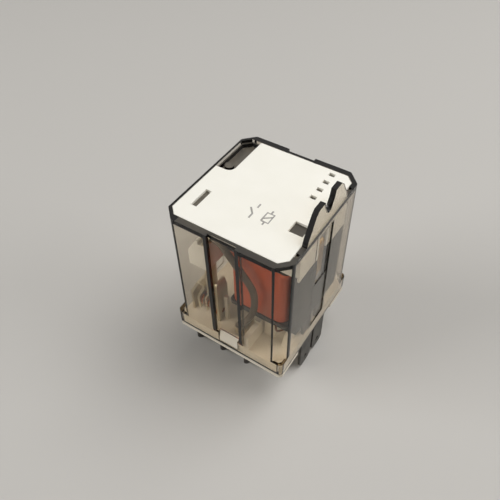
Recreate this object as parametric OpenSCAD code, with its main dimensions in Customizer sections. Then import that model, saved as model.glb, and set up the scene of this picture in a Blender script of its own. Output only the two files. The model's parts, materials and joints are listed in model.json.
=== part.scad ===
// Two-pole changeover power relay with tab terminals under a smoked snap-on cover.
// Millimetres. X runs from the contact side (-) to the coil side (+), Y runs across the poles,
// and Z points up. The origin is at the level of the tab tips, under the middle of the body.
// Heights named ..._z are measured from the underside of the base.

/* [Body] */
// Outer width of the cover, from the contact side to the coil side
body_x = 35.7; // [33:0.1:40]
// Outer depth of the cover, across the poles
body_y = 38.6; // [36.4:0.1:42]
// Height of the cover's rim above the underside of the base
rim_z = 48; // [44:0.1:54]
// Size of the cut upright corners
corner_cut = 3.4; // [2.8:0.1:4]

/* [Cover] */
// Thickness of the cover's walls
wall = 0.9; // [0.8:0.05:1]
// Thickness of the deck under the top plate
deck_t = 0.9; // [0.7:0.05:1.2]
// Height of the skirt's lower edge, which sits on the base's lip
skirt_z = 3.3; // [2.9:0.1:3.6]
// Size of the cut corners of the skirt and the base
skirt_cut = 0.8; // [0.5:0.1:1.2]
// Width of the sunk panel in the middle of each long side
panel_w = 8; // [7.6:0.1:9]
// Depth of the sunk panels
panel_depth = 0.9; // [0.6:0.05:1]
// Height of the skirt's ledge, where the panels and grooves start
panel_foot_z = 8.6; // [8.4:0.1:9.5]
// Width of the shallow groove down the contact side and the coil side
groove_w = 7.2; // [6.4:0.1:8]
// Depth of those grooves
groove_depth = 0.5; // [0.35:0.05:0.6]
// Height of the ledge across the groove on the coil side
ledge_z = 26.5; // [20:0.5:32]
// Width of the rim beside the top plate, on the two long sides
rim_w = 0.85; // [0.6:0.05:1]
// Width of each snap window
window_w = 6.5; // [5.5:0.1:7]
// Height of each snap window
window_h = 4.6; // [4.4:0.1:5]
// Height of the lower edge of the snap windows
window_z = 4.4; // [4:0.1:4.8]

/* [Grip fins] */
// Thickness of the grip fins, which is also the rim's width on the coil side
fin_t = 1.4; // [1.2:0.1:1.8]
// Height of the fins above the rim
fin_h = 8.1; // [6:0.1:10]
// Length of the fins' foot along the rim
fin_foot = 20.6; // [18:0.2:24]
// Length of the fins' top, from shoulder to shoulder
fin_top = 11; // [9:0.2:13]
// Width of the notch between the fins at their top
notch_top = 5.2; // [4:0.1:6]
// Radius of the round bottom of that notch
notch_r = 1.2; // [1:0.1:1.8]
// Height of the notch's bottom above the rim
notch_floor = 3.3; // [2:0.1:4]

/* [Top plate] */
// Thickness of the top plate
plate_t = 0.9; // [0.7:0.05:1.2]
// How far the plate lies below the rim
plate_drop = 0; // [0:0.05:0.4]
// Gap round the plate
plate_gap = 0.1; // [0.05:0.05:0.15]
// Length of the corner notch along X
notch_x = 5; // [4.5:0.1:7]
// Length of the corner notch along Y
notch_y = 14.6; // [12:0.1:16]
// Radius in the corner of that notch
notch_round = 2; // [1:0.1:2.5]
// Depth of the well in the cover below the plate's seat
well_depth = 1.2; // [0.8:0.1:1.6]
// Radius of the moulded pip in the well
pip_r = 1.3; // [0.8:0.1:1.4]

/* [Base] */
// Thickness of the base
base_t = 7; // [6.6:0.1:7.2]
// Thickness of the base's lip under the skirt
lip_t = 1.1; // [0.8:0.1:1.4]
// Gap between the base and the cover
base_gap = 0.1; // [0.05:0.05:0.15]
// Height of the partition walls above the floor
partition_h = 5.8; // [5:0.1:6]
// Thickness of the partition walls
partition_t = 1.6; // [1:0.1:1.8]
// Height of the sloping ribs at the coil's back corners, above the floor
post_h = 5; // [3:0.1:5.4]

/* [Terminals] */
// Length of the tabs below the underside of the base
tab_len = 11.5; // [9:0.5:13]
// Width of the tabs
tab_w = 6.3; // [4.8, 6.3]
// Thickness of the tabs and the fixed straps
strap_t = 0.8; // [0.5, 0.8]
// Width of the straps inside the relay
strap_w = 4.8; // [4.2:0.1:5]
// Distance between the middles of the two poles
pole_pitch = 24.4; // [24:0.1:24.6]
// Distance between the rows of contact tabs
row_pitch = 8.9; // [8.2:0.1:9.4]
// Distance from the cover's outer face to the first row of tabs
first_row = 2.9; // [2.8:0.05:3.3]
// Distance between the middles of the two coil tabs
coil_pitch = 7.5; // [7.3:0.1:9]
// How far the coil tabs stand outside their straps
coil_step = 1.1; // [0.9:0.1:1.2]
// Radius of the hole in each tab
tab_hole_r = 0.85; // [0.7:0.05:1]

/* [Magnet] */
// Thickness of the yoke
yoke_t = 2; // [1.8:0.1:2.2]
// Width of the yoke
yoke_w = 22.8; // [21:0.2:25]
// Height of the yoke's underside above the floor of the base
yoke_lift = 6.7; // [6.4:0.1:7]
// Room above the bobbin for the armature and its retainer
head_room = 8; // [7.8:0.1:10]
// Gap between the make straps and the taped coil
coil_gap = 2.7; // [2.3:0.1:3.4]
// How far the taped coil stands proud of the yoke's edges
coil_proud = 0.6; // [0.3:0.05:0.8]
// Thickness of the coil's tape
tape_t = 0.35; // [0.2:0.05:0.5]
// Thickness of the bobbin's flanges
flange_t = 1.3; // [1:0.1:1.5]
// Width of the core along X
core_x = 7; // [6:0.1:8]
// Width of the core along Y
core_y = 13; // [11:0.2:14]
// Thickness of the armature
armature_t = 1.8; // [1.5:0.1:2]
// Width of the armature
armature_w = 18; // [16:0.2:18.4]
// Angle by which the armature stands open at rest
open_angle = 3.4; // [3:0.1:3.5]

/* [Contacts] */
// Radius of the contact heads
head_r = 2.2; // [1.8:0.1:2.3]
// Thickness of the break contact's head and of the moving contact's front head
head_t = 0.9; // [0.7:0.05:1]
// Thickness of the make contact's head
make_head_t = 0.85; // [0.6:0.05:1]
// Thickness of the moving contact's rear head
back_head_t = 0.75; // [0.6:0.05:0.9]
// Height of the resting contact above the floor of the base
contact_lift = 4.6; // [4.2:0.1:5]
// Thickness of the moving blades
blade_t = 0.5; // [0.4:0.05:0.5]
// Width of the moving blades
blade_w = 4.6; // [4:0.1:4.8]
// Diameter of the braids
braid_d = 2; // [1.6:0.1:2]
// Gap that is left between two closed contact heads
contact_gap = 0.12; // [0.08:0.02:0.2]

/* [Hidden] */
$fn = 48;
eps = 0.01;

// Gaps: between pieces that fit, between pieces that stand side by side
fit = 0.05;
side_gap = 0.1;

// Levels, from the underside of the base
floor_z = base_t;
seat_z = rim_z - plate_drop - plate_t;
ceiling_z = seat_z - deck_t;
yoke_z = floor_z + yoke_lift;
coil_z = yoke_z + yoke_t + side_gap + flange_t;
flange_top_z = ceiling_z - head_room;
coil_h = flange_top_z - flange_t - coil_z;
hinge_z = flange_top_z + 0.2;
contact_z = floor_z + contact_lift;

// Outlines and rows
base_x = body_x - 2 * wall - 2 * base_gap;
base_y = body_y - 2 * wall - 2 * base_gap;
panel_face = body_y / 2 - panel_depth;
groove_wall = 0.6;
panel_side = 1.15;
nc_row = first_row - body_x / 2;
no_row = nc_row + row_pitch;
com_row = no_row + row_pitch;
coil_edge = 0.85;
coil_row = base_x / 2 - coil_edge;
lip_z = skirt_z - lip_t;
pole_y = pole_pitch / 2;

// Yoke and coil, from the coil side's groove inwards
yoke_face = body_x / 2 - groove_depth - groove_wall - fit;
yoke_inner = yoke_face - yoke_t;
rebate = 0.7;
rebate_z = coil_z + coil_h;
hinge_x = yoke_face - rebate;
yoke_room = 0.8;
coil_back = yoke_inner - yoke_room;
coil_front = no_row + strap_t / 2 + coil_gap;
coil_x = coil_back - coil_front;
coil_mid = (coil_front + coil_back) / 2;
coil_y = yoke_w + 2 * coil_proud;
flange_proud = 0.4;
flange_r = 1.2;
tape_r = 2.5;
core_r = 1.5;
tube_t = 1;
core_foot_r = core_x / 2 - 0.5;
pole_face_z = hinge_z - 0.02;

// Shading ring in the pole face
ring_t = 1.2;
ring_w = 1.1;
ring_edge = 0.6;
ring_y = core_y / 4 - 0.4;

// Recess in the base's edge for the coil tabs, and the wider mouths of the other tabs' slots
recess_x = coil_row - strap_t / 2 - 0.5;
recess_z = skirt_z;
coil_tab_drop = 0.3;
coil_tab_z = recess_z - coil_tab_drop;
recess_w = coil_pitch + tab_w + 6;
mouth_z = 0.8;
blind_z = 2;

// Partition, pads and posts on the base
partition_x = max(com_row + strap_t / 2 + 2, panel_w / 2 + panel_side + side_gap);
coil_clear_y = coil_y / 2 + 0.6;
pad_x = partition_x + partition_t + 0.5;
pad_l = coil_back - 3.2 - pad_x;
pad_w = 3;
post_w = 2.2;
post_l = 3;
post_x = coil_back + 0.4;
post_y = coil_clear_y - 0.3;
rib_x = no_row + strap_t / 2 + 0.7;
rib_t = 1.1;
rib_h = 10.4;
pad_edge = 0.4;
partition_foot = 6;

// Snap tongues: their gaps in the window, how far they stay inside the cover's face, and their ramp
tongue_l = 1.4;
tongue_side = 0.15;
tongue_under = 0.15;
tongue_over = 0.25;
tongue_sunk = 0.2;
tongue_ramp = 3.4;

// Tabs, tapered towards the tip both ways
tip_w = 2;
tip_h = 2.6;
tip_lead = 1.2;
tab_hole_z = 4.2;
strap_root = 1;
com_strap_h = 2.4;
coil_strap_h = 3.4;

// Armature, its rivet and the leaf spring behind the hinge
tail_gap = 0.2;
tail_notch = 1.5;
tail_l = 7;
tail_ear = 1.2;
nose_l = 5;
nose_inset = 1.5;
leaf_t = 0.25;
leaf_w = 3.4;
leaf_gap = 0.3;
leaf_r = 1.1;
channel = 0.6;
shank_r = 0.9;
rivet_r = shank_r + 0.5;
rivet_t = 0.35;
spring_foot_z = hinge_z - 13;
spring_rivet_z = spring_foot_z + 2.2;
armature_rivet_x = hinge_x - 5.2;
leaf_end_x = armature_rivet_x - 2.2;

// Retainer over the hinge
retainer_h = 6;
retainer_l = 6.5;
retainer_t = 1;
retainer_slot = [2.5, 8];
cheek_gap = 0.3;

// Contacts, from the make strap backwards: how far the blade's foot travels and leans
head_edge = 0.25;
head_cone = 0.8;
contact_travel = tan(open_angle) * (hinge_z - contact_z);
lean = head_r * sin(open_angle);
make_face = no_row - strap_t / 2 - make_head_t;
blade_foot_x = make_face - contact_gap - lean - contact_travel - head_t - blade_t / 2;
hang_x = blade_foot_x - blade_t / 2 - back_head_t - contact_gap - head_t - strap_t / 2;
make_z = contact_z - tan(open_angle) * (hinge_x - blade_foot_x);
make_top_z = floor_z + 16.6;
make_slope = [0.9, 3.6];
make_bevel = [0.4, 0.6];

// The folded break strap: a riser, a slanted leg, a round bend and a hanging leg
fold_dir = [0.41, 0.912];
fold_side = [fold_dir[1], -fold_dir[0]];
fold_r = (hang_x - nc_row) / 2;
fold_start = [nc_row, floor_z + 7.8];
fold_len = 5.8;
fold_end = fold_start + fold_len * fold_dir;
fold_mid = fold_end + fold_r * fold_side;
fold_back = fold_mid + fold_r * fold_side;
hang_z = fold_back[1] - (fold_back[0] - hang_x) * fold_dir[1] / fold_dir[0];
hang_foot_z = contact_z - head_r - 0.4;

// The moving blade hangs beside the bend and steps back towards the break contact
ferrule_r = braid_d / 2 + 0.5;
ferrule_l = 2.6;
blade_x = fold_back[0] + strap_t / 2 + blade_t / 2 + 0.75;
blade_top_z = hinge_z + 1;
blade_step = [3.2, 5.6];
blade_foot_z = contact_z - head_r - 0.5;
tag_x = com_row - strap_t / 2 - ferrule_r + 0.2;
tag_y = -1.9;
tag_z = floor_z + 0.5;
tag_h = 2.4;

// The carrier is a bar across both poles with a hub in the middle that grips the armature
carrier_z = hinge_z - 10;
carrier_h = 10.4;
carrier_back = blade_x - 4.8;
carrier_wall = 1.2;
carrier_front = blade_x + carrier_wall;
carrier_ridge = blade_x - carrier_wall;
carrier_step = 5.2;
carrier_slope = 2.8;
carrier_seat_z = hinge_z - 0.7;
carrier_w = pole_pitch + blade_w + 0.6;
hub_w = armature_w - 4;
hub_top = 5;
hub_cut = 0.8;
hub_foot = 3;
armature_end = carrier_back + 1.6;

// The braid's route in front of the coil, from the blade's ferrule down to its terminal's
braid_y = -coil_y / 2 - 1.3 - braid_d / 2;
braid_top = [[blade_x - 0.6, -pole_y, blade_top_z], [blade_x + 1.6, -pole_y, blade_top_z],
    [no_row + 1.7, braid_y + 0.9, blade_top_z + 1.1], [no_row + 4.4, braid_y + 0.1, blade_top_z - 0.2],
    [no_row + 7.2, braid_y, blade_top_z - 3.4], [no_row + 10, braid_y, blade_top_z - 7]];
braid_low = [[com_row + 3.1, braid_y, floor_z + 21.8], [com_row + 3.5, braid_y, floor_z + 17.4],
    [com_row + 3, braid_y, floor_z + 13.2], [com_row + 1.7, braid_y, floor_z + 9.2],
    [com_row - 0.1, braid_y, floor_z + 6], [tag_x, tag_y - pole_y, floor_z + 3.4],
    [tag_x, tag_y - pole_y, floor_z + 1]];
braid_route = concat(braid_top, braid_low);

// Pockets in the rim beside the fins, and the outlines of the fins, from their foot to the notch
pocket_l = 1.3;
pocket_w = 0.9;
pocket_y = fin_foot / 2 + 3;
fin_lean = [0.6, 1.8];
fin_shoulder = [1.2, 1.1];
notch_lip = [0.5, 2];

// Places of the slots in the top plate, from its edges
plate_low_x = -body_x / 2 + wall;
plate_high_x = body_x / 2 - fin_t;
plate_side_y = panel_face - rim_w;
plate_cut = 2;
pip_x = plate_low_x + notch_x / 2 - 0.4;
pip_y = plate_side_y - notch_y + 3.1;
pip_sunk = 0.2;
well_edge = 0.4;
slot_w = 1.7;
slot_h = 1.25;
slot_pitch = 3.35;
slots = 4;
slots_y = 12.5;
slots_x = 6.6;
status_x = 3.4;
status_y = 5.1;
status_l = 6.5;
symbol_x = 5.2;
symbol_y = 9.9;
symbol = 3.9;

// ---------- shared shapes ----------

// Stands the part on its tab tips
module stand() translate([0, 0, tab_len]) children();

// Lays an outline drawn in X and Z across the poles, centred on y = 0
module across(w) rotate([90, 0, 0]) linear_extrude(height = w, center = true) children();

// Stands an outline drawn in Y and Z up as a sheet, centred on x = 0
module upright(t) rotate([90, 0, 90]) linear_extrude(height = t, center = true) children();

// Turns what is drawn with the armature pulled in to its resting, open position
module opened() translate([hinge_x, 0, hinge_z]) rotate([0, open_angle, 0])
    translate([-hinge_x, 0, -hinge_z]) children();

// Rectangle round the origin with four cut corners
module cut_rect(x, y, cut) polygon([
    [-x / 2 + cut, -y / 2], [x / 2 - cut, -y / 2], [x / 2, -y / 2 + cut], [x / 2, y / 2 - cut],
    [x / 2 - cut, y / 2], [-x / 2 + cut, y / 2], [-x / 2, y / 2 - cut], [-x / 2, -y / 2 + cut]]);

// Rectangle round the origin with four round corners
module round_rect(x, y, r) union() {
    square([x - 2 * r, y], center = true);
    square([x, y - 2 * r], center = true);
    for (sx = [-1, 1], sy = [-1, 1])
        translate([sx * (x / 2 - r), sy * (y / 2 - r)]) circle(r = r);
}

// Points of a bent strip of even thickness along a path, for a polygon
function unit(v) = v / norm(v);
function left_of(v) = [-v[1], v[0]];
function step(p, i) = unit(p[min(i + 1, len(p) - 1)] - p[min(i, len(p) - 2)]);
function mitre(p, i) =
    let (a = left_of(step(p, max(i - 1, 0))), b = left_of(step(p, i)), m = unit(a + b)) m / (m * a);
function beside(p, d) = [for (i = [0 : len(p) - 1]) p[i] + d * mitre(p, i)];
function turned_round(p) = [for (i = [len(p) - 1 : -1 : 0]) p[i]];
module strip(p, t, w) across(w) polygon(concat(beside(p, t / 2), turned_round(beside(p, -t / 2))));

// Tube swept along a smooth curve through the points of a route
function curve_point(a, b, c, d, t) = 0.5 * (2 * b + (c - a) * t
    + (2 * a - 5 * b + 4 * c - d) * t * t + (3 * b - a - 3 * c + d) * t * t * t);
function curve(p, n) = concat([for (i = [0 : len(p) - 2], k = [0 : n - 1])
    curve_point(p[max(i - 1, 0)], p[i], p[i + 1], p[min(i + 2, len(p) - 1)], k / n)], [p[len(p) - 1]]);
module tube(route, r, n, sides = 8) {
    path = curve(route, n);
    last = len(path) - 1;
    rings = [for (i = [0 : last])
        let (t = unit(path[min(i + 1, last)] - path[max(i - 1, 0)]),
             u = unit(cross(t, [0, 1, 0])), v = cross(t, u))
        for (k = [0 : sides - 1]) path[i] + r * (cos(360 * k / sides) * u + sin(360 * k / sides) * v)];
    walls = [for (i = [0 : last - 1], k = [0 : sides - 1])
        let (a = i * sides + k, b = i * sides + (k + 1) % sides) [a, b, b + sides, a + sides]];
    polyhedron(rings, concat([[for (k = [sides - 1 : -1 : 0]) k]], walls,
        [[for (k = [0 : sides - 1]) last * sides + k]]), convexity = 6);
}

// One of the two poles: 1 is the front one, -1 is the rear one
module pole(side) mirror([0, side < 0 ? 1 : 0, 0]) translate([0, -pole_y, 0]) children();

// ---------- cover and plate ----------

module cover_outline() cut_rect(body_x, body_y, corner_cut);

// Outline of the skirt, the lip and the base, set in from the cover's sides
module skirt_outline(inset)
    cut_rect(body_x - 2 * inset, body_y - 2 * inset, skirt_cut);

module cover_inside()
    cut_rect(body_x - 2 * wall, body_y - 2 * wall, corner_cut - wall * (2 - sqrt(2)));

// The strips that the sunk panels take from an outline, grown on both sides for the inside
module panel_strips(grow, drop) for (s = [-1, 1])
    translate([-panel_w / 2 - grow, s * (body_y / 2 - drop / 2) - drop / 2])
        square([panel_w + 2 * grow, drop + eps]);

module groove_strips(grow, drop) for (s = [-1, 1])
    translate([s * (body_x / 2 - drop / 2) - drop / 2, -groove_w / 2 - grow])
        square([drop + eps, groove_w + 2 * grow]);

module cavity_outline() difference() {
    cover_inside();
    panel_strips(panel_side, panel_depth + wall);
    groove_strips(groove_wall, groove_depth + groove_wall);
}

module plate_outline(gap) translate([(plate_low_x + plate_high_x) / 2, 0])
    cut_rect(plate_high_x - plate_low_x - 2 * gap, 2 * plate_side_y - 2 * gap, plate_cut);

// The open corner of the plate, at the contact side and the rear
module corner_notch(inset) {
    x = plate_low_x + notch_x - inset;
    y = plate_side_y - notch_y + inset;
    difference() {
        translate([x - body_x, y]) square([body_x, body_y]);
        translate([x - notch_round, y - eps]) difference() {
            square(notch_round + eps);
            translate([0, notch_round + eps]) circle(r = notch_round);
        }
    }
}

module well_outline(inset) intersection() {
    corner_notch(inset);
    plate_outline(inset);
}

module fins() {
    foot = fin_foot / 2;
    top = fin_top / 2;
    notch = notch_top / 2;
    notch_z = notch_floor + notch_r;
    translate([body_x / 2 - fin_t / 2, 0, rim_z]) upright(fin_t) difference() {
        polygon([[-foot, -1], [-foot, 0], [-foot + fin_lean[0], fin_lean[1]],
            [-top - fin_shoulder[0], fin_h - fin_shoulder[1]], [-top, fin_h],
            [top, fin_h], [top + fin_shoulder[0], fin_h - fin_shoulder[1]],
            [foot - fin_lean[0], fin_lean[1]], [foot, 0], [foot, -1]]);
        translate([0, notch_z]) circle(r = notch_r);
        polygon([[-notch_r, notch_z], [notch_r, notch_z],
            [notch - notch_lip[0], fin_h - notch_lip[1]], [notch, fin_h + eps],
            [-notch, fin_h + eps], [-notch + notch_lip[0], fin_h - notch_lip[1]]]);
    }
}

module cover() stand() color([0.30, 0.26, 0.23, 0.5]) {
    groove_top = rim_z - 2.5;
    storey_z = panel_foot_z - wall;
    well_ceiling_z = ceiling_z - well_depth;
    difference() {
        union() {
            translate([0, 0, skirt_z]) linear_extrude(height = panel_foot_z - skirt_z) skirt_outline(0);
            translate([0, 0, skirt_z]) linear_extrude(height = rim_z - skirt_z) cover_outline();
        }
        // sunk panels and grooves
        translate([0, 0, panel_foot_z]) linear_extrude(height = rim_z) panel_strips(0, panel_depth);
        translate([0, 0, panel_foot_z]) linear_extrude(height = groove_top - panel_foot_z)
            groove_strips(0, groove_depth - 0.2);
        translate([0, 0, ledge_z]) linear_extrude(height = groove_top - ledge_z)
            groove_strips(0, groove_depth);
        // inside, in three storeys
        translate([0, 0, -eps]) linear_extrude(height = storey_z + eps) skirt_outline(wall);
        translate([0, 0, storey_z - eps]) linear_extrude(height = well_ceiling_z - storey_z + 2 * eps)
            cavity_outline();
        translate([0, 0, well_ceiling_z]) linear_extrude(height = well_depth) difference() {
            cavity_outline();
            well_outline(-wall);
        }
        // seat of the plate and the well in its corner
        translate([0, 0, seat_z]) linear_extrude(height = rim_z) plate_outline(0);
        translate([0, 0, seat_z - well_depth]) linear_extrude(height = rim_z) well_outline(well_edge);
        // pockets in the rim on the coil side
        for (s = [-1, 1]) translate([plate_high_x - eps, s * pocket_y - pocket_l / 2, seat_z])
            cube([pocket_w, pocket_l, rim_z]);
        // snap windows
        for (s = [-1, 1]) translate([-window_w / 2, s * body_y / 2 - 2.5, window_z])
            cube([window_w, 5, window_h]);
    }
    fins();
    // pip in the well
    translate([pip_x, pip_y, seat_z - well_depth - eps]) cylinder(r = pip_r, h = well_depth - pip_sunk);
}

module top_plate() stand() color([0.96, 0.94, 0.89])
    translate([0, 0, seat_z]) linear_extrude(height = plate_t) difference() {
        plate_outline(plate_gap);
        corner_notch(0);
        // status slot on the contact side
        translate([plate_low_x + status_x, -plate_side_y + status_y]) square([slot_w, status_l]);
        // a row of small slots and a square window on the coil side
        for (k = [0 : slots - 1])
            translate([plate_high_x - slots_x, plate_side_y - slots_y + slot_pitch * k])
                square([slot_w, slot_h]);
        translate([plate_high_x - symbol_x, -plate_side_y + symbol_y]) square(symbol);
    }

// ---------- base ----------

// Slot for a strap, with a wider mouth below that takes the shoulders of its tab
module strap_slot(x, y) translate([x, y, -eps]) {
    thick = strap_t + 2 * fit;
    translate([-thick / 2, -strap_w / 2 - fit, 0]) cube([thick, strap_w + 2 * fit, floor_z + 2 * eps]);
    translate([-thick / 2, -tab_w / 2 - fit, 0]) cube([thick, tab_w + 2 * fit, mouth_z + eps]);
}

// Snap tongue of the base that fills a window of the cover
module tongue() {
    root = base_y / 2;
    face = body_y / 2 - tongue_sunk;
    low = window_z + tongue_under;
    high = window_z + window_h - tongue_over;
    upright(window_w - 2 * tongue_side) polygon([[root - tongue_l, low], [face, low],
        [face, high - tongue_ramp], [root, high], [root - tongue_l, high]]);
}

module base() stand() color([0.90, 0.87, 0.79]) {
    difference() {
        union() {
            linear_extrude(height = floor_z) skirt_outline(wall + base_gap);
            translate([0, 0, lip_z]) linear_extrude(height = lip_t - fit) skirt_outline(0);
        }
        translate([recess_x, -recess_w / 2, -eps]) cube([5, recess_w, recess_z + eps]);
        for (s = [-1, 1], row = [nc_row, no_row, com_row]) strap_slot(row, s * pole_y);
        for (s = [-1, 1])
            translate([coil_row - strap_t / 2 - fit, s * coil_pitch / 2 - strap_w / 2 - fit, 0])
                cube([strap_t + 2 * fit, strap_w + 2 * fit, floor_z + eps]);
        // blind slots of the pole that this version leaves out
        for (row = [nc_row, no_row, com_row])
            translate([row - strap_t / 2 - fit, -tab_w / 2 - fit, -eps])
                cube([strap_t + 2 * fit, tab_w + 2 * fit, blind_z + eps]);
    }
    for (s = [0, 1]) mirror([0, s, 0]) {
        tongue();
        // partition between the common terminal and the coil
        translate([partition_x, -base_y / 2, floor_z - eps])
            cube([partition_t, base_y / 2 - coil_clear_y, partition_h + eps]);
        translate([partition_x, -coil_clear_y - eps, floor_z - eps])
            cube([partition_t, coil_clear_y - yoke_w / 2 + partition_foot, yoke_lift + eps]);
        // rib behind the make strap
        translate([rib_x, -pole_y - rib_t / 2, floor_z - eps]) cube([rib_t, rib_t, rib_h + eps]);
        // pads under the yoke, and sloping ribs at its back corners
        translate([pad_x, -yoke_w / 2 + pad_edge, floor_z - eps]) cube([pad_l, pad_w, yoke_lift + eps]);
        translate([post_x, -post_y, floor_z]) upright(post_w)
            polygon([[0, -eps], [post_l, -eps], [post_l, post_h]]);
    }
}

// ---------- magnet ----------

module core_outline(grow) round_rect(core_x + 2 * grow, core_y + 2 * grow, core_r + grow);

module yoke() stand() color([0.33, 0.34, 0.35]) difference() {
    foot_end = coil_mid - core_x / 2 - 2.5;
    union() {
        translate([foot_end, -yoke_w / 2, yoke_z]) cube([yoke_face - foot_end, yoke_w, yoke_t]);
        translate([yoke_inner, -yoke_w / 2, yoke_z]) cube([yoke_t, yoke_w, hinge_z - yoke_z]);
    }
    // rebate for the retainer, channel for the hinge spring, and the holes
    translate([hinge_x, -yoke_w, rebate_z]) cube([yoke_t, 2 * yoke_w, hinge_z]);
    translate([yoke_face - channel, -leaf_w / 2 - leaf_gap, spring_foot_z - 0.5])
        cube([yoke_t, leaf_w + 2 * leaf_gap, hinge_z]);
    translate([coil_mid, 0, yoke_z - eps]) cylinder(r = core_foot_r, h = yoke_t + 2 * eps);
    translate([yoke_inner - eps, 0, spring_rivet_z]) rotate([0, 90, 0])
        cylinder(r = shank_r + fit, h = 2 * yoke_t);
}

module core() stand() color([0.62, 0.62, 0.60]) {
    foot = yoke_z + yoke_t;
    translate([coil_mid, 0, yoke_z]) cylinder(r = core_foot_r - fit, h = yoke_t + eps);
    translate([coil_mid, 0, foot]) difference() {
        linear_extrude(height = pole_face_z - foot) core_outline(0);
        translate([0, 0, pole_face_z - foot - ring_t - side_gap]) linear_extrude(height = 2 * ring_t)
            ring_outline(side_gap);
    }
}

// Outline of the copper ring round one half of the pole face
module ring_outline(grow) translate([0, ring_y]) difference() {
    x = core_x - 2 * ring_edge;
    y = core_y / 2 - 2 * ring_edge;
    round_rect(x + 2 * grow, y + 2 * grow, 1 + grow);
    round_rect(x - 2 * ring_w - 2 * grow, y - 2 * ring_w - 2 * grow, 0.4);
}

module shading_ring() stand() color([0.72, 0.43, 0.25])
    translate([coil_mid, 0, pole_face_z - ring_t]) linear_extrude(height = ring_t) ring_outline(0);

module bobbin() stand() color([0.20, 0.19, 0.18]) translate([coil_mid, 0, 0]) {
    difference() {
        union() {
            for (z = [coil_z - flange_t, coil_z + coil_h])
                translate([0, 0, z]) linear_extrude(height = flange_t)
                    round_rect(coil_x + 2 * flange_proud, coil_y + 2 * flange_proud, flange_r);
            translate([0, 0, coil_z - eps]) linear_extrude(height = coil_h + 2 * eps)
                core_outline(side_gap + tube_t);
        }
        translate([0, 0, coil_z - flange_t - eps]) linear_extrude(height = coil_h + 3 * flange_t)
            core_outline(side_gap);
    }
}

module coil_winding() stand() color([0.66, 0.36, 0.18])
    translate([coil_mid, 0, coil_z + fit]) linear_extrude(height = coil_h - 2 * fit) difference() {
        inset = tape_t + fit;
        round_rect(coil_x - 2 * inset, coil_y - 2 * inset, tape_r - inset);
        core_outline(side_gap + tube_t + fit);
    }

module coil_tape() stand() color([0.85, 0.33, 0.12])
    translate([coil_mid, 0, coil_z + side_gap]) linear_extrude(height = coil_h - 2 * side_gap)
        difference() {
            round_rect(coil_x, coil_y, tape_r);
            round_rect(coil_x - 2 * tape_t, coil_y - 2 * tape_t, tape_r - tape_t);
        }

// Lead from the bobbin's flange, round the yoke's edge, to its coil tab
module coil_lead(side) stand() color([0.70, 0.38, 0.20]) mirror([0, side < 0 ? 1 : 0, 0])
    tube([[coil_back - 2.6, -yoke_w / 2 - 0.7, coil_z - flange_t - 0.4],
        [coil_back - 2.3, -yoke_w / 2 - 0.5, yoke_z - 1],
        [coil_back - 1.6, -yoke_w / 2 + 1.6, yoke_z - 2.6],
        [coil_row - 2.2, -coil_pitch / 2 - 2.4, floor_z + 3.3],
        [coil_row - strap_t / 2 - 0.4, -coil_pitch / 2 - 0.6, floor_z + 3]], 0.35, 4);

// ---------- armature and its spring ----------

module armature() stand() color([0.50, 0.50, 0.49]) opened() difference() {
    tail_x = hinge_x - tail_gap;
    nose_w = hub_w - 2 * nose_inset;
    body_l = tail_x - armature_end - nose_l;
    tail_w = armature_w + 2 * tail_ear;
    translate([0, 0, hinge_z + fit]) linear_extrude(height = armature_t) union() {
        translate([armature_end, -nose_w / 2]) square([nose_l + eps, nose_w]);
        translate([armature_end + nose_l, -armature_w / 2]) square([body_l, armature_w]);
        translate([hinge_x - tail_l, -tail_w / 2]) square([tail_l - tail_gap, tail_w]);
    }
    // notch in the tail for the bend of the hinge spring, and the hole for its rivet
    translate([tail_x - tail_notch, -leaf_w / 2 - leaf_gap, hinge_z])
        cube([2 * tail_notch, leaf_w + 2 * leaf_gap, 2 * armature_t]);
    translate([armature_rivet_x, 0, hinge_z]) cylinder(r = shank_r + fit, h = 2 * armature_t);
}

// Leaf that is riveted to the yoke's back, bends over the hinge and lies on the armature.
// Its upper leg runs above the open armature, and the bend is tangent to both legs.
module hinge_spring() stand() color([0.80, 0.76, 0.66]) {
    x = yoke_face - channel + leaf_t / 2;
    above = fit + armature_t + 0.08 + leaf_t / 2;
    bend_x = x - leaf_r;
    bend_z = hinge_z + (above - leaf_r) / cos(open_angle) + (hinge_x - bend_x) * tan(open_angle);
    bend = [for (k = [0 : 6]) let (a = k / 6 * (90 - open_angle))
        [bend_x + leaf_r * cos(a), bend_z + leaf_r * sin(a)]];
    last = bend[len(bend) - 1];
    end = last + (leaf_end_x - last[0]) * [1, -tan(open_angle)];
    difference() {
        strip(concat([[x, spring_foot_z]], bend, [end]), leaf_t, leaf_w);
        translate([x, 0, spring_rivet_z]) rotate([0, 90, 0])
            cylinder(r = shank_r + fit, h = 4 * leaf_t, center = true);
        opened() translate([armature_rivet_x, 0, hinge_z])
            cylinder(r = shank_r + side_gap + fit, h = 3 * armature_t);
    }
}

// Rivet along Z with its head's underside at height h
module rivet(h) {
    cylinder(r = shank_r, h = h + eps);
    translate([0, 0, h]) cylinder(r1 = rivet_r, r2 = shank_r, h = rivet_t);
}

module yoke_rivet() stand() color([0.75, 0.72, 0.66])
    translate([yoke_inner, 0, spring_rivet_z]) rotate([0, 90, 0])
        rivet(yoke_t - channel + leaf_t + eps);

module armature_rivet() stand() color([0.75, 0.72, 0.66]) opened()
    translate([armature_rivet_x, 0, hinge_z + 2 * fit]) rivet(armature_t + 0.65);

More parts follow.
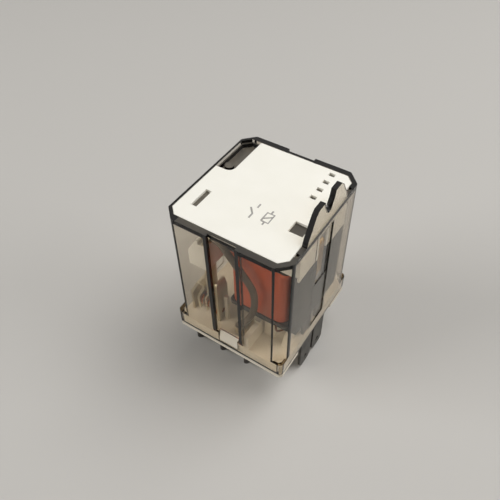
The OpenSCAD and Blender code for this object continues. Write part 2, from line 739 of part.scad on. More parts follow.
// White moulding over the hinge: two ears outside the yoke, two cheeks and a bridge
module armature_retainer() stand() color([0.93, 0.92, 0.88]) {
    top = hinge_z + retainer_h;
    half = yoke_w / 2 + 0.6;
    ear_x = hinge_x + fit;
    ear_z = rebate_z + fit;
    cheek_y = armature_w / 2 + tail_ear + cheek_gap;
    back = yoke_face - retainer_l;
    for (s = [0, 1]) mirror([0, s, 0]) {
        translate([ear_x, -half, ear_z])
            cube([yoke_face - ear_x, half - leaf_w / 2 - 0.4, top - ear_z]);
        translate([back, -half, hinge_z + fit])
            cube([ear_x + eps - back, half - cheek_y, top - hinge_z - fit]);
    }
    difference() {
        translate([back, -half, top - retainer_t]) cube([retainer_l, 2 * half, retainer_t]);
        translate([back - eps, -retainer_slot[1] / 2, top - 2 * retainer_t])
            cube([retainer_slot[0], retainer_slot[1], 3 * retainer_t]);
    }
}

// ---------- moving contacts ----------

module contact_carrier() stand() color([0.95, 0.94, 0.90]) difference() {
    union() {
        // bar across the poles
        across(carrier_w) polygon([[carrier_back, carrier_z], [carrier_back, carrier_z + carrier_step],
            [carrier_back + carrier_slope, carrier_z + carrier_h],
            [carrier_ridge, carrier_z + carrier_h], [carrier_ridge, carrier_seat_z],
            [carrier_front, carrier_seat_z], [carrier_front, carrier_z]]);
        // hub that grips the end of the armature
        across(hub_w) polygon([[carrier_back, carrier_z + hub_foot],
            [carrier_back, hinge_z + hub_top - hub_cut], [carrier_back + hub_cut, hinge_z + hub_top],
            [carrier_front, hinge_z + hub_top], [carrier_front, carrier_z + hub_foot]]);
    }
    // mouth for the armature
    mouth_w = hub_w - 2 * nose_inset + 2 * fit;
    opened() translate([armature_end - fit, -mouth_w / 2, hinge_z])
        cube([nose_l + 15, mouth_w, armature_t + 2 * fit]);
    // slots for the two blades
    for (s = [-1, 1]) translate([blade_x - blade_t / 2 - fit, s * pole_y - blade_w / 2 - fit, 0])
        cube([blade_t + 2 * fit, blade_w + 2 * fit, rim_z]);
}

module blade(side) stand() color([0.82, 0.76, 0.62]) pole(side) difference() {
    union() {
        strip([[blade_x, blade_top_z - ferrule_r + 0.3], [blade_x, contact_z + blade_step[1]],
            [blade_foot_x, contact_z + blade_step[0]], [blade_foot_x, blade_foot_z]], blade_t, blade_w);
        translate([blade_x - 1, 0, blade_top_z]) rotate([0, 90, 0]) cylinder(r = ferrule_r, h = ferrule_l);
    }
    translate([blade_x - 1 - eps, 0, blade_top_z]) rotate([0, 90, 0])
        cylinder(r = braid_d / 2 + 0.25, h = 2 * ferrule_l);
    translate([blade_foot_x, 0, contact_z]) rotate([0, 90, 0])
        cylinder(r = shank_r + fit, h = 4 * blade_t, center = true);
}

// Contact head with a slightly domed face towards +X, standing on x = 0
module head(t) rotate([0, 90, 0]) {
    cylinder(r = head_r, h = t - head_edge);
    translate([0, 0, t - head_edge - eps])
        cylinder(r1 = head_r - 0.1, r2 = head_r - 0.1 - head_cone, h = head_edge + eps);
}

// Head with its shank, riveted through a sheet of thickness t that stands at x = 0
module fixed_contact(t, h) {
    translate([-t / 2, 0, 0]) rotate([0, 90, 0]) cylinder(r = shank_r, h = t + fit);
    translate([t / 2 + eps, 0, 0]) head(h - eps);
}

module moving_contact(side) stand() color([0.72, 0.42, 0.26]) pole(side)
    translate([blade_foot_x, 0, contact_z]) {
        fixed_contact(blade_t, head_t);
        mirror([1, 0, 0]) fixed_contact(blade_t, back_head_t);
    }

module braid(side) stand() color([0.55, 0.53, 0.50])
    mirror([0, side < 0 ? 1 : 0, 0]) tube(braid_route, braid_d / 2, 4);

// ---------- fixed contacts and terminals ----------

// Flat tab with a tapered tip and a round hole, its shoulders at height z
module tab(z) {
    half = tab_w / 2;
    difference() {
        intersection() {
            upright(strap_t) polygon([[-half, z], [-half, tip_h - tab_len], [tip_w - half, -tab_len],
                [half - tip_w, -tab_len], [half, tip_h - tab_len], [half, z]]);
            across(2 * tab_w) polygon([[-strap_t / 2, z], [-strap_t / 2, tip_lead - tab_len],
                [-strap_t / 6, -tab_len], [strap_t / 6, -tab_len],
                [strap_t / 2, tip_lead - tab_len], [strap_t / 2, z]]);
        }
        translate([0, 0, tab_hole_z - tab_len]) rotate([0, 90, 0])
            cylinder(r = tab_hole_r, h = 2 * strap_t, center = true);
    }
}

// Hole for a contact's shank through a strap that stands at x
module shank_hole(x, z) translate([x, 0, z]) rotate([0, 90, 0])
    cylinder(r = shank_r + fit, h = 2 * strap_t, center = true);

module break_terminal(side) stand() color([0.80, 0.74, 0.60]) pole(side) {
    bend = [for (a = [150 : -30 : 0])
        fold_mid + fold_r * (cos(a) * fold_side + sin(a) * fold_dir)];
    translate([nc_row, 0, 0]) tab(mouth_z - fit);
    difference() {
        strip(concat([[nc_row, -strap_root], fold_start, fold_end], bend,
            [[hang_x, hang_z], [hang_x, hang_foot_z]]), strap_t, strap_w);
        shank_hole(hang_x, contact_z);
    }
}

module break_contact(side) stand() color([0.72, 0.42, 0.26]) pole(side)
    translate([hang_x, 0, contact_z]) fixed_contact(strap_t, head_t);

module make_terminal(side) stand() color([0.80, 0.74, 0.60]) pole(side) {
    half = strap_w / 2;
    translate([no_row, 0, 0]) tab(mouth_z - fit);
    difference() {
        translate([no_row, 0, 0]) upright(strap_t) polygon([[-half, -strap_root], [half, -strap_root],
            [half, make_top_z - make_slope[1]], [half - make_slope[0], make_top_z],
            [-half + make_bevel[0], make_top_z], [-half, make_top_z - make_bevel[1]]]);
        shank_hole(no_row, make_z);
    }
}

module make_contact(side) stand() color([0.72, 0.42, 0.26]) pole(side)
    translate([no_row, 0, make_z]) mirror([1, 0, 0]) fixed_contact(strap_t, make_head_t);

module common_terminal(side) stand() color([0.80, 0.74, 0.60]) pole(side) {
    translate([com_row, 0, 0]) tab(mouth_z - fit);
    difference() {
        union() {
            translate([com_row - strap_t / 2, -strap_w / 2, -strap_root])
                cube([strap_t, strap_w, strap_root + floor_z + com_strap_h]);
            translate([tag_x, tag_y, tag_z]) cylinder(r = ferrule_r, h = tag_h);
        }
        translate([tag_x, tag_y, tag_z - eps]) cylinder(r = braid_d / 2 + 0.12, h = 2 * tag_h);
    }
}

module coil_tab(side) stand() color([0.42, 0.42, 0.42])
    translate([coil_row, side * -coil_pitch / 2, 0]) {
        translate([coil_step, 0, 0]) tab(coil_tab_z);
        translate([-strap_t / 2, -strap_w / 2, coil_tab_z - strap_t])
            cube([coil_step + strap_t, strap_w, strap_t]);
        translate([-strap_t / 2, -strap_w / 2, coil_tab_z - eps])
            cube([strap_t, strap_w, floor_z + coil_strap_h - coil_tab_z + eps]);
    }

cover();
top_plate();
base();
yoke();
core();
shading_ring();
bobbin();
coil_winding();
coil_tape();
coil_lead(1);  // coil_lead_a
coil_lead(-1);  // coil_lead_b
coil_tab(1);  // coil_tab_a
coil_tab(-1);  // coil_tab_b
armature();
armature_retainer();
hinge_spring();
yoke_rivet();
armature_rivet();
contact_carrier();
blade(1);  // moving_blade_front
blade(-1);  // moving_blade_rear
moving_contact(1);  // moving_contact_front
moving_contact(-1);  // moving_contact_rear
braid(1);  // braid_front
braid(-1);  // braid_rear
break_terminal(1);  // break_terminal_front
break_terminal(-1);  // break_terminal_rear
break_contact(1);  // break_contact_front
break_contact(-1);  // break_contact_rear
make_terminal(1);  // make_terminal_front
make_terminal(-1);  // make_terminal_rear
make_contact(1);  // make_contact_front
make_contact(-1);  // make_contact_rear
common_terminal(1);  // common_terminal_front
common_terminal(-1);  // common_terminal_rear
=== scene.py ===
"""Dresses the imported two-pole relay: moulded and stamped pieces with rounded edges, woven
braids, domed contacts and a taped coil, all seen through a smoked polycarbonate cover."""
import json
import math
import bpy
import bmesh
from mathutils import Matrix, Vector
from mathutils.bvhtree import BVHTree


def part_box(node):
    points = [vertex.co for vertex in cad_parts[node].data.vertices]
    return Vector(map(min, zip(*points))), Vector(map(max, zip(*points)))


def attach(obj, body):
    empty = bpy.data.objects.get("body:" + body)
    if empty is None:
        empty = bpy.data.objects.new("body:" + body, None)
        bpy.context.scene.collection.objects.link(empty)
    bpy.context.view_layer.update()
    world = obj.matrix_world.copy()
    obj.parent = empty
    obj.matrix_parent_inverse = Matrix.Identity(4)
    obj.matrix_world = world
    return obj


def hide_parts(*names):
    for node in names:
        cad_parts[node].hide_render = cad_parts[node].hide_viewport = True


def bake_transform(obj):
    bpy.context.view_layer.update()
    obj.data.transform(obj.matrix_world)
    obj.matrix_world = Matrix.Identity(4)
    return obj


MM = 0.001                  # one millimetre, in metres
WELD = 0.002 * MM           # corners closer than this are one corner
CUT_SNAP = 0.0001 * MM      # corners this close to a cut lie on it

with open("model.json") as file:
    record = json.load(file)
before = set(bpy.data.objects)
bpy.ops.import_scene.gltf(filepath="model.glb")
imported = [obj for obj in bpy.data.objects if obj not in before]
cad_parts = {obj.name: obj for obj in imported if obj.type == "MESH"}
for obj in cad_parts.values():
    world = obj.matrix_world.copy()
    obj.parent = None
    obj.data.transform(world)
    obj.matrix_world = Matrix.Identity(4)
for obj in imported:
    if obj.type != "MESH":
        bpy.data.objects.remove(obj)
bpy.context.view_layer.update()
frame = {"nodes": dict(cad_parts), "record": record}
nodes = frame["nodes"]


def millimetres(*point):
    return Vector(point) * MM


# ---------- camera ----------

def add_camera():
    """Looks down on the corner between the front pole and the coil side, a little rolled."""
    place = millimetres(52.83, -84.71, 149.88)
    aim = millimetres(-17.16, 18.33, 11.5)
    turn = (aim - place).to_track_quat("-Z", "Y")
    roll = Matrix.Rotation(math.radians(-1.331), 4, "Z")
    data = bpy.data.cameras.new("camera")
    data.lens = 38.74           # focal length and film width are in millimetres
    data.sensor_width = 36
    data.clip_start = 0.01
    data.clip_end = 10
    camera = bpy.data.objects.new("camera", data)
    camera.matrix_world = Matrix.Translation(place) @ turn.to_matrix().to_4x4() @ roll
    bpy.context.scene.collection.objects.link(camera)
    bpy.context.scene.camera = camera


add_camera()


# ---------- materials ----------

def linear(colour):
    """Linear RGBA from an sRGB hex string."""
    parts = [int(colour[i:i + 2], 16) / 255 for i in (1, 3, 5)]
    light = [c / 12.92 if c <= 0.04045 else ((c + 0.055) / 1.055) ** 2.4 for c in parts]
    return (*light, 1.0)


def add(tree, kind, settings=None, links=None):
    """Adds a node, with its attributes or inputs set and its inputs linked to sockets."""
    node = tree.nodes.new(kind)
    for name, value in (settings or {}).items():
        if name in node.inputs:
            node.inputs[name].default_value = value
        else:
            setattr(node, name, value)
    for name, socket in (links or {}).items():
        tree.links.new(socket, node.inputs[name])
    return node


def new_material(name):
    material = bpy.data.materials.new(name)
    material.use_nodes = True
    material.node_tree.nodes.clear()
    return material, material.node_tree


def finish_material(tree, shader, volume=None):
    out = add(tree, "ShaderNodeOutputMaterial", None, {"Surface": shader})
    if volume is not None:
        tree.links.new(volume, out.inputs["Volume"])


def speckled(tree, coords, low, high, per_mm):
    """Two close colours mixed by a noise with so many specks to the millimetre."""
    noise = add(tree, "ShaderNodeTexNoise", {"Scale": per_mm / MM, "Detail": 4},
                {"Vector": coords})
    ramp = add(tree, "ShaderNodeValToRGB", None, {"Fac": noise.outputs["Fac"]})
    ramp.color_ramp.elements[0].position = 0.35
    ramp.color_ramp.elements[0].color = linear(low)
    ramp.color_ramp.elements[1].position = 0.68
    ramp.color_ramp.elements[1].color = linear(high)
    return ramp.outputs["Color"]


def moulded(name, low, high, roughness, grain, depth):
    """Injection-moulded plastic: an even colour under the fine skin of a spark-eroded mould,
    which breaks the light up a little. The skin has so many grains to the millimetre and a
    depth in millimetres."""
    material, tree = new_material(name)
    coords = add(tree, "ShaderNodeTexCoord").outputs["Object"]
    colour = speckled(tree, coords, low, high, 0.12)
    skin = add(tree, "ShaderNodeTexNoise", {"Scale": grain / MM, "Detail": 2},
               {"Vector": coords})
    bump = add(tree, "ShaderNodeBump", {"Strength": 0.35, "Distance": depth * MM},
               {"Height": skin.outputs["Fac"]})
    wear = add(tree, "ShaderNodeMapRange",
               {"To Min": roughness - 0.06, "To Max": roughness + 0.08},
               {"Value": skin.outputs["Fac"]})
    shader = add(tree, "ShaderNodeBsdfPrincipled", {"IOR": 1.55},
                 {"Base Color": colour, "Normal": bump.outputs["Normal"],
                  "Roughness": wear.outputs["Result"]})
    finish_material(tree, shader.outputs["BSDF"])
    return material


def sheet_metal(name, low, high, roughness, lay=(1, 1, 12), shade_below=None, metallic=1.0):
    """Rolled and plated metal: fine rolling lines stretch the highlights along one way. Below
    the base its colour can give way to a darker one, painted shade. A phosphated skin is
    less than wholly metallic, and mirrors less."""
    material, tree = new_material(name)
    coords = add(tree, "ShaderNodeTexCoord").outputs["Object"]
    stretched = add(tree, "ShaderNodeMapping", {"Scale": lay}, {"Vector": coords})
    lines = add(tree, "ShaderNodeTexNoise", {"Scale": 0.9 / MM, "Detail": 5},
                {"Vector": stretched.outputs["Vector"]})
    colour = speckled(tree, coords, low, high, 0.25)
    # painted shade: from 14 mm down to 10 mm the colour turns to the darker one
    if shade_below:
        height = add(tree, "ShaderNodeSeparateXYZ", None, {"Vector": coords}).outputs["Z"]
        inside = add(tree, "ShaderNodeMapRange", {"From Min": 10 * MM, "From Max": 14 * MM},
                     {"Value": height})
        both = add(tree, "ShaderNodeMix", {"data_type": "RGBA"})
        share, first, second = (both.inputs[i] for i in (0, 6, 7))
        first.default_value = linear(shade_below)
        tree.links.new(inside.outputs["Result"], share)
        tree.links.new(colour, second)
        colour = both.outputs[2]
    bump = add(tree, "ShaderNodeBump", {"Strength": 0.25, "Distance": 0.01 * MM},
               {"Height": lines.outputs["Fac"]})
    gloss = add(tree, "ShaderNodeMapRange",
                {"To Min": roughness - 0.08, "To Max": roughness + 0.1},
                {"Value": lines.outputs["Fac"]})
    shader = add(tree, "ShaderNodeBsdfPrincipled",
                 {"Metallic": metallic, "Specular IOR Level": 0.5 if metallic == 1 else 0.25},
                 {"Base Color": colour, "Normal": bump.outputs["Normal"],
                  "Roughness": gloss.outputs["Result"]})
    finish_material(tree, shader.outputs["BSDF"])
    return material


def smoked_polycarbonate():
    """Tinted polycarbonate, moulded glossy: thin walls show what is behind them, and long
    ways through the plastic come out brown. Lamplight goes straight in, so that the inside is
    evenly lit, without the bright spots of bent rays."""
    material, tree = new_material("smoked_polycarbonate")
    clear = add(tree, "ShaderNodeBsdfPrincipled",
                {"Base Color": (1, 1, 1, 1), "Transmission Weight": 1.0, "IOR": 1.585,
                 "Roughness": 0.02, "Specular Tint": (0.1, 0.1, 0.1, 1)})
    lamplight = add(tree, "ShaderNodeBsdfTransparent", {"Color": (0.96, 0.96, 0.96, 1)})
    path = add(tree, "ShaderNodeLightPath")
    both = add(tree, "ShaderNodeMixShader", None, {"Fac": path.outputs["Is Shadow Ray"]})
    tree.links.new(clear.outputs["BSDF"], both.inputs[1])
    tree.links.new(lamplight.outputs["BSDF"], both.inputs[2])
    smoke = add(tree, "ShaderNodeVolumeAbsorption",
                {"Color": linear("#C4B38F"), "Density": 460})
    finish_material(tree, both.outputs["Shader"], smoke.outputs["Volume"])
    return material


def smoked_edge():
    """The same plastic at its edges and steps. Light that gets in there runs on inside the
    wall and is lost, so they look black, under a glossy skin that catches the lamps."""
    material, tree = new_material("smoked_polycarbonate_edge")
    coords = add(tree, "ShaderNodeTexCoord").outputs["Object"]
    skin = add(tree, "ShaderNodeTexNoise", {"Scale": 0.8 / MM, "Detail": 2}, {"Vector": coords})
    gloss = add(tree, "ShaderNodeMapRange", {"To Min": 0.08, "To Max": 0.2},
                {"Value": skin.outputs["Fac"]})
    shader = add(tree, "ShaderNodeBsdfPrincipled", {"IOR": 1.585, "Specular IOR Level": 0.3},
                 {"Base Color": speckled(tree, coords, "#080706", "#110E0C", 0.2),
                  "Roughness": gloss.outputs["Result"]})
    finish_material(tree, shader.outputs["BSDF"])
    return material


def smoked_painted_shade(name, low, high):
    """The same plastic where it lies flat: in the corner's well, under the plate's slots and
    along the rim's top. Its brown-grey is painted shade, for the dark seen down into them, over
    a fine bumped texture that lets part of the light through."""
    material, tree = new_material(name)
    coords = add(tree, "ShaderNodeTexCoord").outputs["Object"]
    skin = add(tree, "ShaderNodeTexNoise", {"Scale": 2.5 / MM, "Detail": 3}, {"Vector": coords})
    bump = add(tree, "ShaderNodeBump", {"Strength": 0.4, "Distance": 0.02 * MM},
               {"Height": skin.outputs["Fac"]})
    shader = add(tree, "ShaderNodeBsdfPrincipled",
                 {"IOR": 1.585, "Roughness": 0.3, "Transmission Weight": 0.35},
                 {"Base Color": speckled(tree, coords, low, high, 0.3),
                  "Normal": bump.outputs["Normal"]})
    finish_material(tree, shader.outputs["BSDF"])
    return material


def polyester_tape():
    """Orange polyester film tape: glossy, with faint ripples where it was pulled round."""
    material, tree = new_material("polyester_tape")
    coords = add(tree, "ShaderNodeTexCoord").outputs["Object"]
    colour = speckled(tree, coords, "#C24A12", "#CE5419", 0.1)
    pulled = add(tree, "ShaderNodeMapping", {"Scale": (1, 1, 0.25)}, {"Vector": coords})
    ripple = add(tree, "ShaderNodeTexNoise", {"Scale": 0.5 / MM, "Detail": 2},
                 {"Vector": pulled.outputs["Vector"]})
    bump = add(tree, "ShaderNodeBump", {"Strength": 0.3, "Distance": 0.06 * MM},
               {"Height": ripple.outputs["Fac"]})
    shader = add(tree, "ShaderNodeBsdfPrincipled",
                 {"Roughness": 0.32, "IOR": 1.6, "Coat Weight": 0.3, "Coat Roughness": 0.12},
                 {"Base Color": colour, "Normal": bump.outputs["Normal"]})
    finish_material(tree, shader.outputs["BSDF"])
    return material


def enamelled_copper():
    """Enamelled copper wire, wound in layers that show as fine rings across the winding."""
    material, tree = new_material("enamelled_copper")
    coords = add(tree, "ShaderNodeTexCoord").outputs["Object"]
    rings = add(tree, "ShaderNodeTexWave", {"bands_direction": "Z", "Scale": 1.4 / MM,
                                            "Distortion": 0.4}, {"Vector": coords})
    bump = add(tree, "ShaderNodeBump", {"Strength": 0.6, "Distance": 0.05 * MM},
               {"Height": rings.outputs["Fac"]})
    shader = add(tree, "ShaderNodeBsdfPrincipled",
                 {"Metallic": 1.0, "Roughness": 0.3, "Coat Weight": 0.6, "Coat Roughness": 0.2},
                 {"Base Color": speckled(tree, coords, "#6E3A20", "#8A4C2C", 0.6),
                  "Normal": bump.outputs["Normal"]})
    finish_material(tree, shader.outputs["BSDF"])
    return material


def ink():
    """Grey pad-printing ink, a little glossier than the plate under it."""
    material, tree = new_material("grey_ink")
    coords = add(tree, "ShaderNodeTexCoord").outputs["Object"]
    shader = add(tree, "ShaderNodeBsdfPrincipled", {"Roughness": 0.4, "IOR": 1.5},
                 {"Base Color": speckled(tree, coords, "#96938E", "#A9A6A0", 1.2)})
    finish_material(tree, shader.outputs["BSDF"])
    return material


SMOKE = smoked_polycarbonate()
SMOKED_EDGE = smoked_edge()
# painted shade: brown-grey for the dark seen down into the slots, the well and the rim's wall
SMOKED_FLOOR_PAINTED_SHADE = smoked_painted_shade("smoked_polycarbonate_floor_painted_shade", "#524C42", "#5F594E")
SMOKED_RIM_PAINTED_SHADE = smoked_painted_shade("smoked_polycarbonate_rim_painted_shade", "#332F28", "#3D382F")
WHITE = moulded("white_pbt", "#F4F1E6", "#F7F4EA", 0.5, 3.5, 0.02)
CREAM = moulded("cream_pbt", "#E2D8C5", "#E8DFCE", 0.5, 3.0, 0.02)
IVORY = moulded("ivory_nylon", "#ECE8DE", "#F3F0E7", 0.42, 3.0, 0.02)
NYLON = moulded("black_brown_nylon", "#2A2521", "#38322C", 0.5, 3.0, 0.03)
TAPE = polyester_tape()
WIRE = enamelled_copper()
INK = ink()
IRON = sheet_metal("phosphated_iron", "#242726", "#313433", 0.55, metallic=0.35)
POLE = sheet_metal("nickel_on_iron", "#A7A6A2", "#BDBCB7", 0.3, (12, 1, 1))
# painted shade: the tabs below the base are painted dark grey
TINNED = sheet_metal("tinned_brass_strip", "#D6CBB2", "#E8DFC8", 0.4, shade_below="#56524D")
# painted shade: the coil's tabs are painted a dark grey tin
SHADED_TIN = sheet_metal("tinned_brass_painted_shade", "#464440", "#5C5954", 0.4)
BRONZE = sheet_metal("spring_bronze", "#B8945C", "#CDAA70", 0.28)
CONTACT = sheet_metal("copper_contact_rivet", "#945A38", "#AE7049", 0.34, (1, 1, 1))
SILVER = sheet_metal("silver_contact_face", "#B9B4AA", "#D2CEC6", 0.35, (1, 1, 1))
BRAID = sheet_metal("tinned_copper_strands", "#776C5F", "#918576", 0.4, (1, 1, 1))


# ---------- making pieces ----------

BODY_OF = {node: body for body, members in frame["record"]["behaviour"]["bodies"].items()
           for node in members}


def mesh_object(name, mesh, materials, smooth=35):
    """Makes an object of a bmesh, smooth but for the edges sharper than an angle in degrees."""
    data = bpy.data.meshes.new(name)
    mesh.to_mesh(data)
    mesh.free()
    for material in materials:
        data.materials.append(material)
    data.shade_smooth()
    data.set_sharp_from_angle(angle=math.radians(smooth))
    piece = bpy.data.objects.new(name, data)
    bpy.context.scene.collection.objects.link(piece)
    flat = piece.modifiers.new("flat_faces_stay_flat", "WEIGHTED_NORMAL")
    flat.weight = 100
    flat.keep_sharp = True
    return piece


def place_piece(name, mesh, materials, node, smooth=35, bend=None):
    """Makes a piece that stands for a CAD node, or for part of it, and moves with its body.
    One that crosses the hinge is given a fixed place and a moving one, in millimetres; it is
    left out of the bodies, and this script does not bend it."""
    piece = mesh_object(name, mesh, materials, smooth)
    if bend:
        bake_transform(piece)
    else:
        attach(piece, BODY_OF[node])
    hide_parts(node)


def merged_copy(node):
    """A CAD node's solid as one closed mesh, with its flat faces whole."""
    mesh = bmesh.new()
    mesh.from_mesh(nodes[node].data)
    bmesh.ops.remove_doubles(mesh, verts=mesh.verts, dist=WELD)
    bmesh.ops.dissolve_limit(mesh, angle_limit=math.radians(0.6), verts=mesh.verts,
                             edges=mesh.edges)
    return mesh


def sharp_edges(mesh, angle=28):
    """The edges where two faces meet at more than an angle in degrees."""
    return [edge for edge in mesh.edges
            if len(edge.link_faces) == 2 and edge.calc_face_angle() > math.radians(angle)]


def round_edges(mesh, edges, width, segments=2):
    """Rounds edges by a width in millimetres, as moulding and tumbling leave them. Gives the
    new faces."""
    return bmesh.ops.bevel(mesh, geom=edges, offset=width * MM, offset_type="OFFSET",
                           affect="EDGES", segments=segments, profile=0.5, material=-1,
                           clamp_overlap=True)["faces"]


def rounded(name, node, material, width, segments=2):
    """A CAD node's solid with its sharp edges rounded by a width in millimetres."""
    mesh = merged_copy(node)
    round_edges(mesh, sharp_edges(mesh), width, segments)
    place_piece(name, mesh, [material], node)


def route_through(points, steps):
    """A smooth curve through points in millimetres, as points in metres, with so many steps
    from one given point to the next."""
    points = [millimetres(*point) for point in points]
    ends = [2 * points[0] - points[1]] + points + [2 * points[-1] - points[-2]]
    route = []
    for a, b, c, d in zip(ends, ends[1:], ends[2:], ends[3:]):
        for k in range(steps):
            t = k / steps
            route.append(0.5 * (2 * b + (c - a) * t + (2 * a - 5 * b + 4 * c - d) * t * t
                                + (3 * b - a - 3 * c + d) * t ** 3))
    return route + [points[-1]]


def wires(routes, radius):
    """Round wires along routes in metres, with a radius in millimetres, as one mesh with
    closed ends."""
    curve = bpy.data.curves.new("wires", "CURVE")
    curve.dimensions = "3D"
    curve.bevel_depth = radius * MM
    curve.bevel_resolution = 1
    curve.use_fill_caps = True
    for route in routes:
        spline = curve.splines.new("POLY")
        spline.points.add(len(route) - 1)
        for point, place in zip(spline.points, route):
            point.co = (*place, 1)
    drawn = bpy.data.objects.new("wires", curve)
    data = bpy.data.meshes.new_from_object(drawn)
    mesh = bmesh.new()
    mesh.from_mesh(data)
    bpy.data.objects.remove(drawn)
    bpy.data.curves.remove(curve)
    bpy.data.meshes.remove(data)
    return mesh


def turned(profile, place, axis):
    """A piece turned about an axis through a place. Its profile is (height, radius) pairs in
    millimetres."""
    mesh = bmesh.new()
    verts = [mesh.verts.new(millimetres(radius, 0, height)) for height, radius in profile]
    edges = [mesh.edges.new(pair) for pair in zip(verts, verts[1:])]
    bmesh.ops.spin(mesh, geom=verts + edges, cent=(0, 0, 0), axis=(0, 0, 1), steps=40,
                   angle=math.tau, use_merge=True)
    bmesh.ops.remove_doubles(mesh, verts=mesh.verts, dist=WELD)
    bmesh.ops.recalc_face_normals(mesh, faces=mesh.faces)
    turn = Vector(axis).to_track_quat("Z", "Y").to_matrix()
    bmesh.ops.rotate(mesh, cent=(0, 0, 0), matrix=turn, verts=mesh.verts)
    bmesh.ops.translate(mesh, vec=place, verts=mesh.verts)
    return mesh


# ---------- cover, plate and base ----------

# places on the cover, in millimetres, that part its clear plastic from the faces painted black
# as painted shade
WALL_X, WALL_Y = 17.7, 19.2             # just under the outer faces of the walls
CORNER_SLOPE = 33.5                     # x + y just under the upright edges at the corners
CORNER_END, SLOPE_START = 15.1, 15.9    # ends of the black strip along an upright corner
STEP_START, STEP_END = 3.9, 5           # ends of the black strip beside a sunk panel
STEP_SIDES = (3.6, 4.2)                 # where the upright sides of the sunk panels stand
PANEL_Y = 17.5                          # the sunk panels' sides lie further out than this
FOOT = 20.1                             # top of the flared skirt
LEDGE = 38                              # small ledge in the grooves of the two narrow sides
PLATE_SEAT = 53                         # flat tops above it lie under or beside the plate
PLATE_TOP = 59.5
RIM_TOP, FIN_FOOT = 59.3, 59.7          # just under the rim's top, and just over it
RIM_END = 13.2                          # the rim's top is painted black, as painted shade, further out than this, along the contact side and the rear
                                        # the contact side and the rear
WELL_X, WELL_Y = (-17.2, -11.8), (2.8, 18.6)    # a box round the corner's well and its pip
WELL_Z = (57.4, 59.4)
WELL_SLOPE = 33                         # y - x just inside the well's sloping corner


def between(value, ends):
    return ends[0] < value < ends[1]


def faces_along(mesh, axis, side):
    """The flat faces of the cover that look along an axis, 0 or 1, either way, and lie more
    than so many millimetres out."""
    return [face for face in mesh.faces if abs(face.normal[axis]) > 0.99
            and abs(face.calc_center_median()[axis]) / MM > side]


def cut(mesh, faces, place, normal):
    """Cuts faces in two along a plane, so that each side can have its own material."""
    parts = set(faces)
    for face in faces:
        parts.update(face.edges)
        parts.update(face.verts)
    bmesh.ops.bisect_plane(mesh, geom=list(parts), dist=CUT_SNAP,
                           plane_co=millimetres(*place), plane_no=normal)


def faces_out(edge, mesh_tree):
    """Whether an edge lies on the outside of a shell: a ray straight off it meets no wall."""
    middle = (edge.verts[0].co + edge.verts[1].co) / 2
    away = (edge.link_faces[0].normal + edge.link_faces[1].normal).normalized()
    return mesh_tree.ray_cast(middle + away * 0.05 * MM, away)[0] is None


def is_thick(face):
    """Whether a face lies on the thick plastic beside a sunk panel or at an upright corner,
    where black is painted as painted shade.
    """
    x, y, z = (abs(value) / MM for value in face.calc_center_median())
    along_x, along_y = abs(face.normal.x) > 0.9, abs(face.normal.y) > 0.9
    side_of_step = along_x and between(x, STEP_SIDES) and y > PANEL_Y
    beside_panel = along_y and STEP_START < x < STEP_END and y > WALL_Y
    beside_corner = along_x and CORNER_END < y < SLOPE_START and x > WALL_X
    return z > FOOT and (side_of_step or beside_panel or beside_corner)


def is_rim(face):
    """Whether a face is a fin's edge, the rim's top along the contact side or the rear, or an
    upright side of the corner's well or of its pip: faces painted black as painted shade."""
    x, y, z = (value / MM for value in face.calc_center_median())
    fin_edge = z > FIN_FOOT and abs(face.normal.x) < 0.5
    rim_top = face.normal.z > 0.9 and z > RIM_TOP and (x < -RIM_END or y > RIM_END)
    in_well = (between(x, WELL_X) and between(y, WELL_Y) and between(z, WELL_Z)
               and y - x < WELL_SLOPE)
    return fin_edge or rim_top or (in_well and abs(face.normal.z) < 0.5)


def is_floor(face):
    """Whether a face is the flat plastic under the plate, the floor of the corner's well, or
    the top of the rim."""
    return face.normal.z > 0.9 and PLATE_SEAT < face.calc_center_median().z / MM < FIN_FOOT


def add_cover():
    """The moulded cover: clear walls between edges, corners and panel steps painted black as
    painted shade.
    """
    black, shaded_floor, rim = 1, 2, 3      # places in the list of materials, after the clear one
    mesh = merged_copy("cover")
    corners = [edge for edge in sharp_edges(mesh) if edge.calc_length() > 25 * MM
               and abs(edge.verts[0].co.x) + abs(edge.verts[0].co.y) > CORNER_SLOPE * MM]
    # painted shade: the rounded upright corners are painted black
    for face in round_edges(mesh, corners, 0.38):
        face.material_index = black
    mesh.normal_update()
    mesh_tree = BVHTree.FromBMesh(mesh)
    outside = [edge for edge in sharp_edges(mesh) if faces_out(edge, mesh_tree)
               and abs(edge.verts[0].co.z / MM - LEDGE) > 0.1]
    # painted shade: the rounded outer edges are painted black
    for face in round_edges(mesh, outside, 0.2):
        face.material_index = black
    mesh.normal_update()
    round_edges(mesh, [edge for edge in sharp_edges(mesh, 35) if not edge.is_convex
                       or not faces_out(edge, mesh_tree)], 0.15)
    mesh.normal_update()
    for side in (-1, 1):
        cut(mesh, faces_along(mesh, 1, WALL_Y), (side * STEP_END, 0, 0), (1, 0, 0))
        cut(mesh, faces_along(mesh, 0, WALL_X), (0, side * CORNER_END, 0), (0, 1, 0))
    walls = faces_along(mesh, 1, WALL_Y) + faces_along(mesh, 0, WALL_X)
    cut(mesh, walls, (0, 0, FOOT), (0, 0, 1))
    for place, normal in (((-RIM_END, 0, 0), (1, 0, 0)), ((0, RIM_END, 0), (0, 1, 0))):
        tops = [face for face in mesh.faces
                if face.normal.z > 0.99 and face.calc_center_median().z > RIM_TOP * MM]
        cut(mesh, tops, place, normal)
    for face in mesh.faces:
        # painted shade: black on thick plastic, fin edges, rim tops and the well's sides
        if is_thick(face) or is_rim(face):
            face.material_index = black
        elif is_floor(face):
            # painted shade on the flat tops under the plate, in the well and on the rim
            on_rim = face.calc_center_median().z > RIM_TOP * MM
            face.material_index = rim if on_rim else shaded_floor
    place_piece("cover_shell", mesh, [SMOKE, SMOKED_EDGE, SMOKED_FLOOR_PAINTED_SHADE, SMOKED_RIM_PAINTED_SHADE], "cover")


